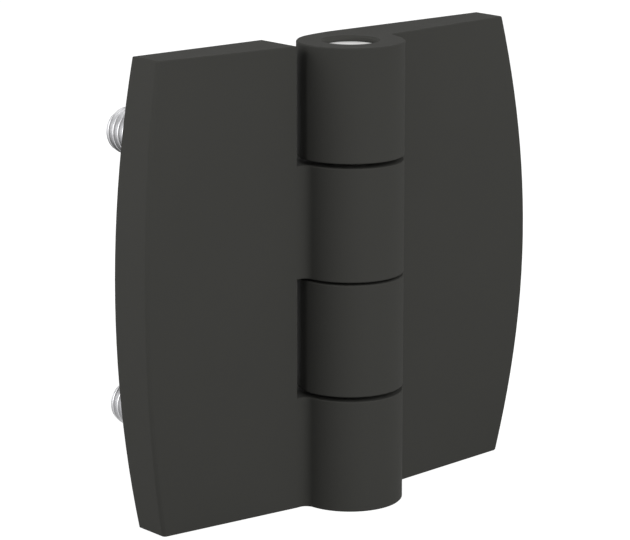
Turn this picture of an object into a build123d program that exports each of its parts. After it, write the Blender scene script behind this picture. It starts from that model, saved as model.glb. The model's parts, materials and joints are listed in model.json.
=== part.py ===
from build123d import *
import math
import os

# Four-knuckle plastic surface hinge, modelled open flat as it is mounted, in millimetres.
# The two leaves are one and the same moulding: the second is the first turned end for end.
#
# Frame: the origin is the middle of the fixed leaf's two studs, on the plane that the back
# faces share. +X runs from the fixed leaf to the moving leaf, +Y points the way the studs
# do, into the panel, and +Z runs up along the pin.

# Pin and barrel
PIN_RADIUS = 3.5
PIN_CLEARANCE = 0.05      # radial, in the moving leaf's knuckles
PIN_RECESS = 0.7          # from each end of the barrel down to the pin's end face
PIN_CHAMFER = 0.25
BARREL_WALL = 3.375       # plastic outside the pin
BORE_CHAMFER = 0.25       # at every mouth of a bore
GRIP_LENGTH = 8.0         # knurled bands that hold the pin in the fixed leaf's knuckles

# Knuckles, an even number. The fixed leaf owns the lowest, and then every second one.
KNUCKLE_COUNT = 4
GAP_ABOVE_FIXED = 0.6     # from a knuckle of the fixed leaf up to the next one
GAP_BELOW_FIXED = 0.36    # and down to the next one
ROOT_FILLET = 1.1         # where the leaf's front runs into its own knuckles
ROOT_GAP = 1.675          # from the barrel to the wall beside the other leaf's knuckles
BACK_STEP = 0.475         # how far the back plane stands behind the barrel
BACK_BLEND = 4.0          # from the pin's axis to where the flat back starts to round off

# Leaf
LEAF_HEIGHT = 60.0
LEAF_REACH = 32.0         # pin axis to the bowed end, at mid-height
END_BOW = 3.25            # how far the end falls back from there to the corners
ROOT_THICKNESS = 6.95
END_THICKNESS = 6.6       # at mid-height
CORNER_THICKNESS = 5.15
END_ROUND = 0.5           # edge between the end and the front
EDGE_CHAMFER = 0.12       # other outer edges, and the rims of the knuckles

# Coring in the back
OUTER_WALL = 2.0
FRONT_WALL = 2.2
RIB = 1.4
POCKET_WIDTH = 5.0        # about; the rows share the height evenly

# Studs
STUD_FROM_END = 12.0      # in from the bowed end, at mid-height
STUD_FROM_TOP = 12.0      # in from the leaf's top and bottom
STUD_RADIUS = 3.0         # over the thread
STUD_LENGTH = 14.0        # beyond the back plane
STUD_CHAMFER = 0.5
SHANK_RADIUS = 3.6        # plain shank inside the plastic
STUD_DEPTH = 4.6          # from the back plane to the front of the stud's head
HEAD_ACROSS = 10.0        # hexagon head, across its flats
HEAD_THICKNESS = 2.4
BOSS_WALL = 1.4           # plastic around the corners of the head

# Worked out from the sizes above. These are in the pin's frame: x and y from the pin's
# axis, z from mid-height, with y growing towards the panel.
half_height = LEAF_HEIGHT / 2
bore_radius = PIN_RADIUS + PIN_CLEARANCE
barrel_radius = PIN_RADIUS + BARREL_WALL
back_y = barrel_radius + BACK_STEP
root_x = barrel_radius + ROOT_GAP
root_y = back_y - ROOT_THICKNESS
plate_depth = 2 * max(ROOT_THICKNESS, END_THICKNESS, CORNER_THICKNESS)
corner_x = LEAF_REACH - END_BOW
stud_x = LEAF_REACH - STUD_FROM_END
stud_z = half_height - STUD_FROM_TOP
head_radius = HEAD_ACROSS / math.sqrt(3)
boss_radius = head_radius + BOSS_WALL

fixed_levels = range(0, KNUCKLE_COUNT, 2)
moving_levels = range(1, KNUCKLE_COUNT, 2)
all_gaps = len(moving_levels) * GAP_ABOVE_FIXED + (len(fixed_levels) - 1) * GAP_BELOW_FIXED
knuckle_height = (LEAF_HEIGHT - all_gaps) / KNUCKLE_COUNT

# The pin's frame and the part's own frame are parallel.
pin_place = Location((stud_x, -back_y, 0))
turn_over = Location((0, 0, 0), (0, 180, 0))

TOUCH = 0.01              # closer than this, two heights or places count as one


def knuckle_base(index):
    """Lower face of a knuckle, counted from the bottom of the barrel."""
    gaps_below = (index + 1) // 2 * GAP_ABOVE_FIXED + index // 2 * GAP_BELOW_FIXED
    return -half_height + index * knuckle_height + gaps_below


def knuckle_profile():
    """Section of a knuckle and its root, from the barrel out to the leaf."""
    blend_radius = (BACK_BLEND**2 / BACK_STEP + back_y + barrel_radius) / 2
    blend_centre = Vector(BACK_BLEND, back_y - blend_radius)
    blend_end = blend_centre.normalized() * -barrel_radius
    blend_middle = blend_centre + (
        (blend_end - blend_centre).normalized() + Vector(0, 1)
    ).normalized() * blend_radius

    fillet_y = root_y - ROOT_FILLET
    fillet_reach = barrel_radius + ROOT_FILLET
    fillet_centre = Vector(math.sqrt(fillet_reach**2 - fillet_y**2), fillet_y)
    fillet_start = fillet_centre.normalized() * barrel_radius
    fillet_end = fillet_centre + Vector(0, ROOT_FILLET)
    fillet_middle = fillet_centre + (
        Vector(0, 1) - fillet_centre.normalized()
    ).normalized() * ROOT_FILLET

    back_corner = Vector(root_x, back_y)
    flat_end = Vector(BACK_BLEND, back_y)
    front_corner = Vector(root_x, root_y)
    outline = [
        Line(back_corner, flat_end),
        ThreePointArc(flat_end, blend_middle, blend_end),
        ThreePointArc(blend_end, Vector(-barrel_radius, 0), fillet_start),
        ThreePointArc(fillet_start, fillet_middle, fillet_end),
        Line(fillet_end, front_corner),
        Line(front_corner, back_corner),
    ]
    return make_face(Curve() + outline)


def front_y(thickness, x_known, x):
    """Front of the leaf at x, on the straight line from the root through a known thickness."""
    slope = (ROOT_THICKNESS - thickness) / (x_known - root_x)
    return root_y + slope * (x - root_x)


def ruled_block(set_back):
    """Everything behind the leaf's front surface, moved back by set_back.

    The front is straight from root to end and bowed from top to bottom at the end.
    """
    far_x = LEAF_REACH + END_BOW
    far_corner = front_y(CORNER_THICKNESS, corner_x, far_x) + set_back
    far_middle = front_y(END_THICKNESS, LEAF_REACH, far_x) + set_back
    near = root_y + set_back

    inner = Wire(
        [
            Line((root_x, near, -half_height), (root_x, near, half_height)),
            Line((root_x, near, half_height), (root_x, back_y, half_height)),
            Line((root_x, back_y, half_height), (root_x, back_y, -half_height)),
            Line((root_x, back_y, -half_height), (root_x, near, -half_height)),
        ]
    )
    outer = Wire(
        [
            ThreePointArc(
                (far_x, far_corner, -half_height),
                (far_x, far_middle, 0),
                (far_x, far_corner, half_height),
            ),
            Line((far_x, far_corner, half_height), (far_x, back_y, half_height)),
            Line((far_x, back_y, half_height), (far_x, back_y, -half_height)),
            Line((far_x, back_y, -half_height), (far_x, far_corner, -half_height)),
        ]
    )
    return Solid.make_loft([inner, outer], ruled=True)


def leaf_outline():
    """The leaf seen from the front: straight beside the barrel, bowed at the end."""
    outline = [
        Line((root_x, -half_height), (corner_x, -half_height)),
        ThreePointArc((corner_x, -half_height), (LEAF_REACH, 0), (corner_x, half_height)),
        Line((corner_x, half_height), (root_x, half_height)),
        Line((root_x, half_height), (root_x, -half_height)),
    ]
    return make_face(Curve() + outline)


def from_back(shape, depth):
    """Extrude a front-view outline forwards from the back plane."""
    back_plane = Plane(origin=(0, back_y, 0), x_dir=(1, 0, 0), z_dir=(0, -1, 0))
    return extrude(back_plane * shape, amount=depth)


def lies_flat(edge, level):
    """Whether the whole edge is at one height."""
    box = edge.bounding_box()
    return abs(box.min.Z - level) < TOUCH and abs(box.max.Z - level) < TOUCH


def knuckles(levels):
    """A leaf's own knuckles with their roots, at the given levels of the barrel."""
    block = extrude(knuckle_profile(), amount=knuckle_height)
    outside = block.edges().filter_by(lambda e: e.center().X < root_x - TOUCH)
    rims = outside.filter_by(lambda e: lies_flat(e, 0) or lies_flat(e, knuckle_height))
    block = chamfer(rims, EDGE_CHAMFER)
    return [Location((0, 0, knuckle_base(level))) * block for level in levels]


def facet_end(body):
    """Take the edge between a plate's end and front down to three narrow faces.

    Each face touches a round of END_ROUND, and the faces turn by equal angles.
    """
    wide_leg = END_ROUND * (2 - math.sqrt(2))
    narrow_leg = END_ROUND * (math.tan(math.pi / 8) - math.tan(math.pi / 16))
    for leg in (wide_leg, narrow_leg):
        at_end = body.edges().filter_by(lambda e: e.center().X > corner_x)
        upright = at_end.filter_by(lambda e: e.length > half_height)
        body = chamfer(upright.filter_by(lambda e: e.center().Y < back_y - TOUCH), leg)
    return body


def plate():
    """A leaf without its knuckles, chamfered all round except beside the barrel."""
    body = facet_end(from_back(leaf_outline(), plate_depth) & ruled_block(0))
    for level in (-half_height, half_height):
        outside = body.edges().filter_by(lambda e: e.center().X > root_x + TOUCH)
        body = chamfer(outside.filter_by(lambda e: lies_flat(e, level)), EDGE_CHAMFER)
    at_end = body.edges().filter_by(lambda e: e.center().X > corner_x)
    upright = at_end.filter_by(lambda e: e.length > half_height)
    return chamfer(upright.filter_by(lambda e: e.center().Y > back_y - TOUCH), EDGE_CHAMFER)


def bore():
    """The bore through the barrel, with a chamfer at the mouth of every knuckle."""
    mouth = bore_radius + BORE_CHAMFER
    tool = Cylinder(bore_radius, LEAF_HEIGHT)
    for level in range(KNUCKLE_COUNT):
        base = knuckle_base(level)
        cone = Cone(mouth, bore_radius, BORE_CHAMFER, align=(Align.CENTER, Align.CENTER, Align.MIN))
        tool += Location((0, 0, base)) * cone
        tool += Location((0, 0, base + knuckle_height), (180, 0, 0)) * cone
    return tool


def coring():
    """The pockets in the back: rows between ribs, with one rib upright through the studs."""
    inside = from_back(offset(leaf_outline(), -OUTER_WALL, kind=Kind.INTERSECTION), ROOT_THICKNESS)
    pockets = inside & ruled_block(FRONT_WALL)

    inner_height = LEAF_HEIGHT - 2 * OUTER_WALL
    rows = round((inner_height + RIB) / (POCKET_WIDTH + RIB))
    row_pitch = (inner_height + RIB) / rows
    depth_middle = back_y - ROOT_THICKNESS / 2
    for row in range(1, rows):
        level = -inner_height / 2 + row * row_pitch - RIB / 2
        pockets -= Location((LEAF_REACH / 2, depth_middle, level)) * Box(
            LEAF_REACH, ROOT_THICKNESS, RIB
        )
    pockets -= Location((stud_x, depth_middle, 0)) * Box(RIB, ROOT_THICKNESS, LEAF_HEIGHT)
    for level in (-stud_z, stud_z):
        boss = Location((stud_x, depth_middle, level), (90, 0, 0)) * Cylinder(
            boss_radius, ROOT_THICKNESS
        )
        pockets -= boss
    return pockets


def stud():
    """Steel stud at the origin, pointing along +Y, with y = 0 in the back plane."""
    along = Plane(origin=(0, -STUD_DEPTH, 0), x_dir=(1, 0, 0), z_dir=(0, 1, 0))
    head = extrude(along * RegularPolygon(head_radius, 6), amount=HEAD_THICKNESS)
    shank = extrude(along * Circle(SHANK_RADIUS), amount=STUD_DEPTH)
    outside = extrude(along * Circle(STUD_RADIUS), amount=STUD_DEPTH + STUD_LENGTH)
    tip = outside.faces().sort_by(Axis.Y)[-1].edges()
    return head + shank + chamfer(tip, STUD_CHAMFER)


def studs():
    """The leaf's lower and upper studs, where the leaf holds them."""
    return [Location((stud_x, back_y, level)) * stud() for level in (-stud_z, stud_z)]


def leaf(levels):
    """One leaf moulding around its studs, reaching to +X from the pin's axis."""
    body = plate()
    for knuckle in knuckles(levels):
        body += knuckle
    body -= bore()
    body -= coring()
    for steel in studs():
        body -= steel
    return body


def pin():
    """Steel pin with two knurled bands that grip the fixed leaf's knuckles."""
    length = LEAF_HEIGHT - 2 * PIN_RECESS
    rod = Cylinder(PIN_RADIUS, length)
    rod = chamfer(rod.edges().filter_by(GeomType.CIRCLE), PIN_CHAMFER)
    for level in fixed_levels:
        middle = knuckle_base(level) + knuckle_height / 2
        rod += Location((0, 0, middle)) * Cylinder(bore_radius, GRIP_LENGTH)
    return rod


moving_leaf = leaf(moving_levels)
moving_lower, moving_upper = studs()

nodes = {
    "fixed_leaf": turn_over * moving_leaf,
    "fixed_upper_stud": turn_over * moving_lower,
    "fixed_lower_stud": turn_over * moving_upper,
    "moving_leaf": moving_leaf,
    "moving_upper_stud": moving_upper,
    "moving_lower_stud": moving_lower,
    "hinge_pin": pin(),
}

os.makedirs("parts", exist_ok=True)
for name, shape in nodes.items():
    export_step(pin_place * shape, f"parts/{name}.step")
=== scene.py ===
import json
import math

import bpy
from mathutils import Matrix, Vector


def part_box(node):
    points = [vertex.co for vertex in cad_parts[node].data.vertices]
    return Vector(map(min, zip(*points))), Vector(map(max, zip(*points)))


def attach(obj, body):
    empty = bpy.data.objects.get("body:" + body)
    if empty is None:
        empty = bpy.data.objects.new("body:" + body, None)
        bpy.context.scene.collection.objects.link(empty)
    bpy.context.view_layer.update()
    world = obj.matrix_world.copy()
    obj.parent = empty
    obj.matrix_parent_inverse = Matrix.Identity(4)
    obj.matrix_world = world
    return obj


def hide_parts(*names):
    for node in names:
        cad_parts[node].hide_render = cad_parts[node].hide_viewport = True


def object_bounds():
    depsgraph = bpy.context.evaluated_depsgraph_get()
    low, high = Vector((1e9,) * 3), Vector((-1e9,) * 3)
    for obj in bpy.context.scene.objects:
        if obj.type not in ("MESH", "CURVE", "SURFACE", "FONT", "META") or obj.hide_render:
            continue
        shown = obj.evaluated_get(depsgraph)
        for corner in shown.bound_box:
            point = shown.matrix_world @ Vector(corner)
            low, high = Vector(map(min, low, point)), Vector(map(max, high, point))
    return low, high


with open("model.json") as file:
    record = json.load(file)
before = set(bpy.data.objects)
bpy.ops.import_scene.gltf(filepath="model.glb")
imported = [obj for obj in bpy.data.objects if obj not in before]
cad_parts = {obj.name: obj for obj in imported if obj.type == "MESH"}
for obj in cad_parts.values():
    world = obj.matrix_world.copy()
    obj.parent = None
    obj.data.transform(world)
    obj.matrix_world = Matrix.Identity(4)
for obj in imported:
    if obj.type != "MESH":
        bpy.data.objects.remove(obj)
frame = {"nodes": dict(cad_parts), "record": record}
cad_low, cad_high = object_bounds()
nodes = frame["nodes"]

# Camera. The photograph looks down a little on the hinge's front, from the fixed leaf's side.
# The view turns about the pin: its middle lies on one pixel of the frame, at a known depth.
swing = frame["record"]["behaviour"]["joints"][0]
pin_middle = Vector(swing["pos_m"])
image_width, image_height = 630, 540
pin_pixel = Vector((349.96, 272.01))
view_turn, view_dip = math.radians(40.42), math.radians(13.46)
pin_depth = 0.3639
focal_pixels = 2841.0
sensor_width = 36.0
nearest_seen = 0.01

forward = Vector((
    math.sin(view_turn) * math.cos(view_dip),
    math.cos(view_turn) * math.cos(view_dip),
    -math.sin(view_dip),
))
rightward = forward.cross(Vector((0, 0, 1))).normalized()
upward = rightward.cross(forward)
metres_per_pixel = pin_depth / focal_pixels
camera_place = (
    pin_middle
    - forward * pin_depth
    - rightward * (pin_pixel.x - image_width / 2) * metres_per_pixel
    + upward * (pin_pixel.y - image_height / 2) * metres_per_pixel
)
bpy.ops.object.camera_add(location=camera_place)
camera = bpy.context.object
camera.name = "camera"
camera.rotation_euler = forward.to_track_quat("-Z", "Y").to_euler()
camera.data.sensor_width = sensor_width
camera.data.lens = focal_pixels * sensor_width / image_width
camera.data.clip_start = nearest_seen
bpy.context.scene.camera = camera

# Leaves. Each is one injection moulding in matt black plastic, glass-filled for strength. The
# mould's spark-eroded faces give it a very fine grain, and the flow of the melt a faint cloud.
dull_plastic = (0.0420, 0.0420, 0.0388, 1)
pale_plastic = (0.0472, 0.0472, 0.0436, 1)
cloud_share, grain_share = 0.7, 0.3
plastic_roughness = 0.65
cloud_roughness, grain_roughness = 0.10, 0.06
plastic_specular = 0.02
grain_height = 0.00003
grain_scale, melt_cloud_scale = 6000.0, 90.0


class Value:
    """A socket of a shader's nodes. Arithmetic on it adds the Math nodes."""

    def __init__(self, shader, socket):
        self.shader = shader
        self.socket = socket

    def _math(self, operation, first, second):
        return self.shader.add(
            "ShaderNodeMath", {"operation": operation}, {0: first, 1: second}
        )[0]

    def __add__(self, other):
        return self._math("ADD", self, other)

    __radd__ = __add__

    def __sub__(self, other):
        return self._math("SUBTRACT", self, other)

    def __rsub__(self, other):
        return self._math("SUBTRACT", other, self)

    def __mul__(self, other):
        return self._math("MULTIPLY", self, other)

    __rmul__ = __mul__

    def spread(self, width):
        """Turn a noise that runs from 0 to 1 into one of this width about 0."""
        noise_middle = 0.5
        return (self - noise_middle) * width


class Shader:
    """The node tree of a material or of the world, filled node by node."""

    def __init__(self, owner):
        owner.use_nodes = True
        self.owner = owner
        self.tree = owner.node_tree
        self.tree.nodes.clear()

    def add(self, kind, settings=None, inputs=None):
        """Add a node: its settings first, then its inputs. Gives its outputs by name or place."""
        node = self.tree.nodes.new(kind)
        for name, setting in (settings or {}).items():
            setattr(node, name, setting)
        for name, given in (inputs or {}).items():
            if isinstance(given, Value):
                self.tree.links.new(given.socket, node.inputs[name])
            else:
                node.inputs[name].default_value = given
        outputs = {socket.name: Value(self, socket) for socket in node.outputs}
        outputs.update({place: Value(self, s) for place, s in enumerate(node.outputs)})
        return outputs

    def noise(self, place, scale, detail, roughness):
        """A noise from 0 to 1 over a place on the piece."""
        return self.add(
            "ShaderNodeTexNoise",
            {"noise_dimensions": "3D"},
            {"Vector": place, "Scale": scale, "Detail": detail, "Roughness": roughness},
        )[0]

    def blend(self, share, low_colour, high_colour):
        """One colour passing into another as share goes from 0 to 1."""
        share_in, low_in, high_in, colour_out = 0, 6, 7, 2
        mixed = self.add(
            "ShaderNodeMix",
            {"data_type": "RGBA"},
            {share_in: share, low_in: low_colour, high_in: high_colour},
        )
        return mixed[colour_out]

    def relief(self, height, depth, strength):
        """The normal of a surface with a fine relief in it."""
        return self.add(
            "ShaderNodeBump", {}, {"Strength": strength, "Distance": depth, "Height": height}
        )["Normal"]

    def surface(self, inputs):
        """Finish a material with a Principled surface."""
        principled = self.add("ShaderNodeBsdfPrincipled", {}, inputs)
        self.add("ShaderNodeOutputMaterial", {}, {"Surface": principled["BSDF"]})
        return self.owner


def moulded_plastic():
    """Matt black plastic: a fine even grain, and clouds of slightly duller and paler surface."""
    shader = Shader(bpy.data.materials.new("matt_black_moulding"))
    place = shader.add("ShaderNodeTexCoord")["Object"]
    grain = shader.noise(place, grain_scale, detail=2.0, roughness=0.6)
    cloud = shader.noise(place, melt_cloud_scale, detail=3.0, roughness=0.55)
    return shader.surface({
        "Base Color": shader.blend(
            cloud * cloud_share + grain * grain_share, dull_plastic, pale_plastic
        ),
        "Roughness": (
            plastic_roughness + cloud.spread(cloud_roughness) + grain.spread(grain_roughness)
        ),
        "Specular IOR Level": plastic_specular,
        "Normal": shader.relief(grain, grain_height, strength=0.35),
    })


plastic = moulded_plastic()
for leaf in ("fixed_leaf", "moving_leaf"):
    nodes[leaf].material_slots[0].material = plastic

# Pin. Bright drawn steel, cut off and faced in a lathe, so its end has fine rings about the
# axis. It is pressed through the fixed leaf's knuckles and sits a little below the rim.
stained_steel = (0.68, 0.68, 0.67, 1)
clean_steel = (0.78, 0.78, 0.77, 1)
pin_roughness = 0.52
ring_roughness, stain_roughness = 0.14, 0.10
ring_height = 0.00002
ring_scale, stain_scale = 9000.0, 700.0


def turned_steel():
    """Bright steel with the fine rings of a facing cut about the pin's axis."""
    shader = Shader(bpy.data.materials.new("faced_steel"))
    place = shader.add("ShaderNodeTexCoord")["Object"]
    from_axis = shader.add(
        "ShaderNodeMapping",
        {"vector_type": "POINT"},
        {"Vector": place, "Location": (-pin_middle.x, -pin_middle.y, 0), "Scale": (1, 1, 0)},
    )["Vector"]
    radius = shader.add("ShaderNodeVectorMath", {"operation": "LENGTH"}, {0: from_axis})["Value"]
    ring_place = shader.add("ShaderNodeCombineXYZ", {}, {"X": radius * ring_scale})["Vector"]
    rings = shader.noise(ring_place, 1.0, detail=2.0, roughness=0.6)
    stain = shader.noise(place, stain_scale, detail=3.0, roughness=0.55)
    return shader.surface({
        "Base Color": shader.blend(stain, stained_steel, clean_steel),
        "Metallic": 1.0,
        "Roughness": (
            pin_roughness + rings.spread(ring_roughness) + stain.spread(stain_roughness)
        ),
        "Normal": shader.relief(rings, ring_height, strength=0.3),
    })


nodes["hinge_pin"].material_slots[0].material = turned_steel()

# Studs. Four M6 steel studs with a rolled thread, zinc-plated and bright. The plastic is moulded
# round each one's hexagon head and plain shank, and the thread starts at the leaf's back face.
thread_pitch = 0.001
thread_turns = 17
crest_radius = 0.003
root_radius = 0.002387
crest_flat = thread_pitch / 8
root_flat = thread_pitch / 4
sink = 0.00006
tip_chamfer = 0.0005
trim_margin = 0.0003
shank_radius = 0.0036
head_thickness = 0.0024

stud_low, stud_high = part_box("fixed_upper_stud")
head_front, stud_tip = stud_low.y, stud_high.y
head_radius = (stud_high.x - stud_low.x) / 2

# The core and the limit have odd numbers of sides, so that none of their edges lies on one of
# the thread's edges.
thread_steps, core_sides, limit_sides = 50, 49, 97
shank_sides, head_sides = 96, 6
outline_sides = 4
merge_distance = thread_pitch / 1000
smooth_below = math.radians(30)

cloudy_zinc = (0.53, 0.53, 0.54, 1)
bright_zinc = (0.65, 0.65, 0.66, 1)
zinc_roughness = 0.44
zinc_cloud_roughness, mark_roughness = 0.14, 0.08
mark_height = 0.00002
mark_scale, zinc_cloud_scale = 900.0, 350.0
squeezed_along_stud = (1, 9, 1)


def select_none():
    """Leave nothing selected, and nothing in edit mode."""
    if bpy.context.object and bpy.context.object.mode != "OBJECT":
        bpy.ops.object.mode_set(mode="OBJECT")
    bpy.ops.object.select_all(action="DESELECT")


def rod(name, radius, start, end, sides):
    """A closed cylinder along +Y about the stud's axis, from one place on it to another."""
    select_none()
    bpy.ops.mesh.primitive_cylinder_add(
        vertices=sides,
        radius=radius,
        depth=end - start,
        location=(0, (start + end) / 2, 0),
        rotation=(math.radians(-90), 0, 0),
    )
    bpy.context.object.name = name
    bpy.ops.object.transform_apply(location=True, rotation=True, scale=True)
    return bpy.context.object


def combine(piece, tool, operation):
    """Join, cut or trim a piece with a tool, which is then used up."""
    select_none()
    bpy.context.view_layer.objects.active = piece
    cut = piece.modifiers.new(operation.lower(), "BOOLEAN")
    cut.operation = operation
    cut.object = tool
    cut.solver = "EXACT"
    bpy.ops.object.modifier_apply(modifier=cut.name)
    bpy.data.objects.remove(tool)


def select_part(piece, test):
    """Select a piece's points that pass a test, and what lies between them, for edit mode."""
    chosen = [test(vertex.co) for vertex in piece.data.vertices]
    piece.data.vertices.foreach_set("select", chosen)
    for edge in piece.data.edges:
        edge.select = all(chosen[v] for v in edge.vertices)
    for face in piece.data.polygons:
        face.select = all(chosen[v] for v in face.vertices)
    bpy.ops.object.mode_set(mode="EDIT")


def thread_ridge():
    """The thread's ridge: its outline, sunk a little into the core, wound along the axis."""
    sunk_radius = root_radius - sink
    height = crest_radius - sunk_radius
    foot_width = thread_pitch - root_flat
    start = stud_tip - (thread_turns - 1) * thread_pitch
    middle = (sunk_radius + height / 2, start, 0)

    select_none()
    bpy.ops.mesh.primitive_plane_add(size=foot_width, location=middle)
    ridge = bpy.context.object
    bpy.ops.object.transform_apply(location=True)
    select_part(ridge, lambda place: True)
    bpy.ops.transform.resize(value=(height / foot_width, 1, 1), center_override=middle)
    bpy.ops.object.mode_set(mode="OBJECT")
    select_part(ridge, lambda place: place.x > middle[0])
    bpy.ops.transform.resize(value=(1, crest_flat / foot_width, 1), center_override=middle)
    bpy.ops.mesh.select_all(action="SELECT")
    bpy.ops.mesh.delete(type="ONLY_FACE")
    bpy.ops.object.mode_set(mode="OBJECT")

    wind = ridge.modifiers.new("wind", "SCREW")
    wind.axis = "Y"
    wind.steps = wind.render_steps = thread_steps
    wind.screw_offset = thread_pitch
    wind.iterations = thread_turns
    bpy.ops.object.modifier_apply(modifier=wind.name)

    select_part(ridge, lambda place: True)
    bpy.ops.mesh.remove_doubles(threshold=merge_distance)
    bpy.ops.mesh.fill_holes(sides=outline_sides)
    bpy.ops.mesh.normals_make_consistent(inside=False)
    bpy.ops.object.mode_set(mode="OBJECT")
    return ridge


def chamfered_limit():
    """The shape that the thread stays within: a wide rod with the tip's chamfer."""
    limit = rod(
        "limit", crest_radius + trim_margin, -thread_pitch / 2, stud_tip, limit_sides
    )
    select_part(limit, lambda place: place.y > stud_tip - thread_pitch)
    bpy.ops.mesh.bevel(
        offset=tip_chamfer + trim_margin, offset_type="OFFSET", segments=1, affect="EDGES"
    )
    bpy.ops.object.mode_set(mode="OBJECT")
    return limit


def plated_steel():
    """Bright zinc plate: a little blue in it, clouded, with the drag marks of thread rolling."""
    shader = Shader(bpy.data.materials.new("zinc_plated_steel"))
    place = shader.add("ShaderNodeTexCoord")["Object"]
    squeezed = shader.add(
        "ShaderNodeMapping",
        {"vector_type": "POINT"},
        {"Vector": place, "Scale": squeezed_along_stud},
    )["Vector"]
    marks = shader.noise(squeezed, mark_scale, detail=3.0, roughness=0.6)
    cloud = shader.noise(place, zinc_cloud_scale, detail=3.0, roughness=0.5)
    return shader.surface({
        "Base Color": shader.blend(cloud, cloudy_zinc, bright_zinc),
        "Metallic": 1.0,
        "Roughness": (
            zinc_roughness + cloud.spread(zinc_cloud_roughness) + marks.spread(mark_roughness)
        ),
        "Normal": shader.relief(marks, mark_height, strength=0.2),
    })


first_stud = rod("stud", root_radius, -thread_pitch, stud_tip + thread_pitch / 2, core_sides)
combine(first_stud, thread_ridge(), "UNION")
combine(first_stud, chamfered_limit(), "INTERSECT")
shank = rod("shank", shank_radius, head_front + head_thickness / 2, 0, shank_sides)
head = rod("head", head_radius, head_front, head_front + head_thickness, head_sides)
combine(shank, head, "UNION")
combine(first_stud, shank, "UNION")
first_stud.data.materials.append(plated_steel())

for node_name in (
    "fixed_upper_stud",
    "fixed_lower_stud",
    "moving_upper_stud",
    "moving_lower_stud",
):
    low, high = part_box(node_name)
    side = node_name.split("_")[0]
    stud_name = node_name.replace("stud", "threaded_stud")
    stud = bpy.data.objects.new(stud_name, first_stud.data.copy())
    bpy.context.scene.collection.objects.link(stud)
    end_for_end = math.pi if side == "fixed" else 0
    stud.data.transform(
        Matrix.Translation(((low.x + high.x) / 2, 0, (low.z + high.z) / 2))
        @ Matrix.Rotation(end_for_end, 4, "Y")
    )
    select_none()
    bpy.context.view_layer.objects.active = stud
    stud.select_set(True)
    bpy.ops.object.shade_smooth_by_angle(angle=smooth_below)
    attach(stud, side + "_side")
    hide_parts(node_name)
bpy.data.objects.remove(first_stud)

# Floor and background. A plain pale floor under the hinge's lower edge, which runs out to white,
# as the photograph's background does, and keeps the hinge's soft shadow.
floor_size = 6.0
floor_gap = 0.00002
floor_grey = (0.30, 0.30, 0.30, 1)
floor_glow = 0.88
room_light = 0.4
white = (1, 1, 1, 1)

select_none()
bpy.ops.mesh.primitive_plane_add(size=floor_size, location=(0, 0, cad_low[2] - floor_gap))
floor = bpy.context.object
floor.name = "floor"
bpy.ops.object.transform_apply(location=True)


def seen_directly(shader):
    """1 for what the camera, a reflection or a refraction sees, and 0 for plain light."""
    path = shader.add("ShaderNodeLightPath")
    direct = path["Is Camera Ray"] + path["Is Glossy Ray"] + path["Is Transmission Ray"]
    return shader.add("ShaderNodeClamp", {}, {"Value": direct})[0]


def pale_floor():
    """A pale matt floor, lifted a little where it is seen, so that it passes into white."""
    shader = Shader(bpy.data.materials.new("pale_floor"))
    matt = shader.add("ShaderNodeBsdfDiffuse", {}, {"Color": floor_grey})[0]
    glow = shader.add(
        "ShaderNodeEmission",
        {},
        {"Color": white, "Strength": floor_glow * seen_directly(shader)},
    )[0]
    both = shader.add("ShaderNodeAddShader", {}, {0: matt, 1: glow})[0]
    shader.add("ShaderNodeOutputMaterial", {}, {"Surface": both})
    return shader.owner


floor.data.materials.append(pale_floor())

world = Shader(bpy.context.scene.world or bpy.data.worlds.new("studio"))
bpy.context.scene.world = world.owner
room = world.add(
    "ShaderNodeBackground",
    {},
    {"Color": white, "Strength": room_light + (1 - room_light) * seen_directly(world)},
)[0]
world.add("ShaderNodeOutputWorld", {}, {"Surface": room})

# Lights. Three plain soft boxes: one in front of the leaves and above them, one on the side of
# the fixed leaf's bowed end, a little behind it, and a weaker one low behind the leaves.
box_distance = 0.8
box_size = 0.6


def soft_box(name, turn, height_angle, power):
    """A square area light that faces the hinge, from a turn about the pin and a height angle."""
    turn, height_angle = math.radians(turn), math.radians(height_angle)
    away = Vector((
        math.sin(turn) * math.cos(height_angle),
        -math.cos(turn) * math.cos(height_angle),
        math.sin(height_angle),
    ))
    bpy.ops.object.light_add(type="AREA", location=pin_middle + away * box_distance)
    lamp = bpy.context.object
    lamp.name = name
    lamp.rotation_euler = away.to_track_quat("Z", "Y").to_euler()
    lamp.data.size = box_size
    lamp.data.energy = power


soft_box("front_box", turn=8, height_angle=27, power=5.45)
soft_box("end_box", turn=-106, height_angle=18, power=3.95)
soft_box("back_box", turn=-148, height_angle=5, power=2.6)

bpy.context.scene.view_settings.view_transform = "Standard"
